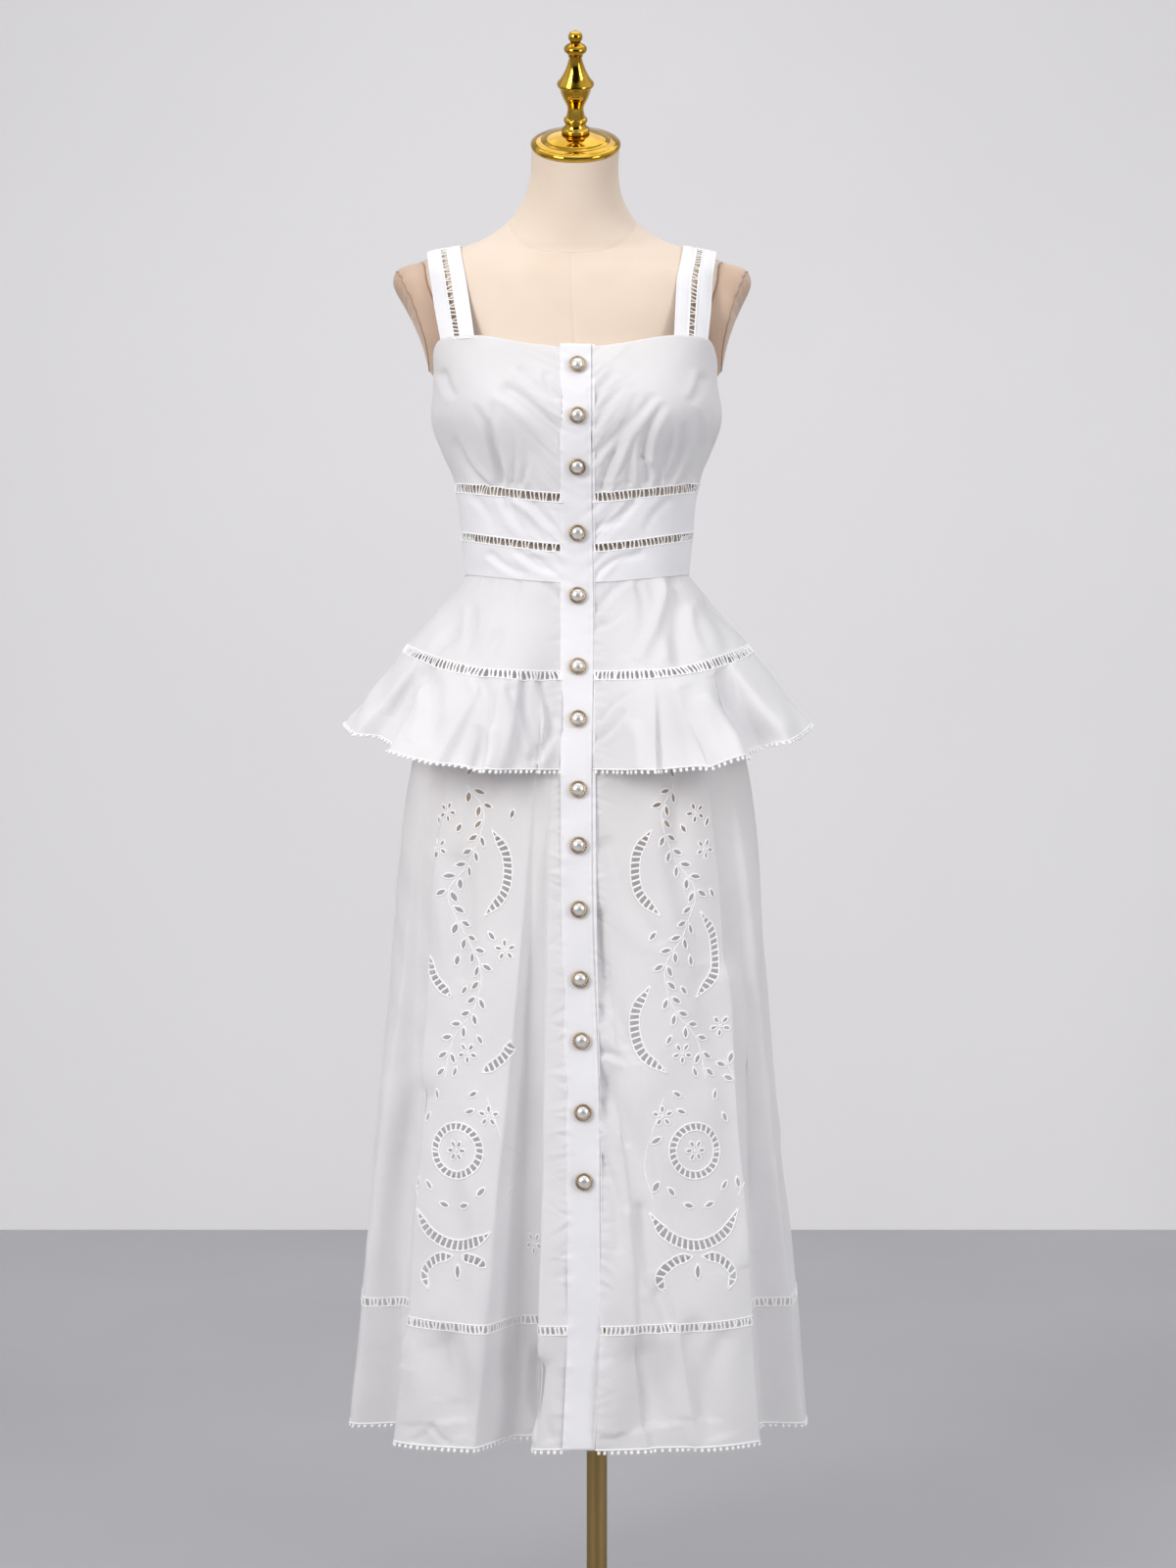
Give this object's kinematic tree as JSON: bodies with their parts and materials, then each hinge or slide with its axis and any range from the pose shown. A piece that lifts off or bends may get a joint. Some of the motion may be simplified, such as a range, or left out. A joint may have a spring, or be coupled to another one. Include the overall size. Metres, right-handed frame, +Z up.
{
  "type": "button-front midi dress on a limbless dress form with stand",
  "caption": "White button-through midi dress with a square neck, gathered bust, flared peplum and cutwork skirt, on a limbless dress form with a pole and round base.",
  "frame": {"origin": "centre of the stand's round base on its underside, on the pole's axis", "axes": "+Z up, the dress's front faces -Y, the wearer's left is +X"},
  "size_m": [0.4998, 0.4028, 1.7087],
  "materials": {
    "cotton": "matt white cotton voile",
    "ladder_tape": "open ladder-stitch cotton tape",
    "form_cover": "smooth stretched jersey",
    "arm_cover": "smooth stretched jersey, darker",
    "polished_gold": "mirror-bright gold plating",
    "brass": "dark lacquered brass",
    "pearl_button": "pearl dome in a gold corded rim"
  },
  "bodies": {
    "root": {"form_torso": "form_cover", "arm_cap_right": "arm_cover", "arm_cap_left": "arm_cover", "neck_cap": "polished_gold", "finial": "polished_gold", "pole": "brass", "base": "brass", "bodice_front_right": "cotton", "bodice_front_left": "cotton", "bodice_back": "cotton", "upper_waistband_front_right": "cotton", "upper_waistband_front_left": "cotton", "upper_waistband_back": "cotton", "lower_waistband_front_right": "cotton", "lower_waistband_front_left": "cotton", "lower_waistband_back": "cotton", "peplum_upper_front_right": "cotton", "peplum_upper_front_left": "cotton", "peplum_upper_back": "cotton", "peplum_lower_front_right": "cotton", "peplum_lower_front_left": "cotton", "peplum_lower_back": "cotton", "skirt_front_right": "cotton", "skirt_front_left": "cotton", "skirt_back": "cotton", "hem_band_front_right": "cotton", "hem_band_front_left": "cotton", "hem_band_back": "cotton", "button_band": "cotton", "strap_right_inner": "cotton", "strap_right_outer": "cotton", "strap_left_inner": "cotton", "strap_left_outer": "cotton", "ladder_under_bust": "ladder_tape", "ladder_waist": "ladder_tape", "ladder_peplum": "ladder_tape", "picots_peplum": "ladder_tape", "ladder_hem": "ladder_tape", "picots_hem": "ladder_tape", "strap_right_ladder": "ladder_tape", "strap_left_ladder": "ladder_tape", "button_01": "pearl_button", "button_02": "pearl_button", "button_03": "pearl_button", "button_04": "pearl_button", "button_05": "pearl_button", "button_06": "pearl_button", "button_07": "pearl_button", "button_08": "pearl_button", "button_09": "pearl_button", "button_10": "pearl_button", "button_11": "pearl_button", "button_12": "pearl_button", "button_13": "pearl_button", "button_14": "pearl_button"}
  },
  "joints": []
}
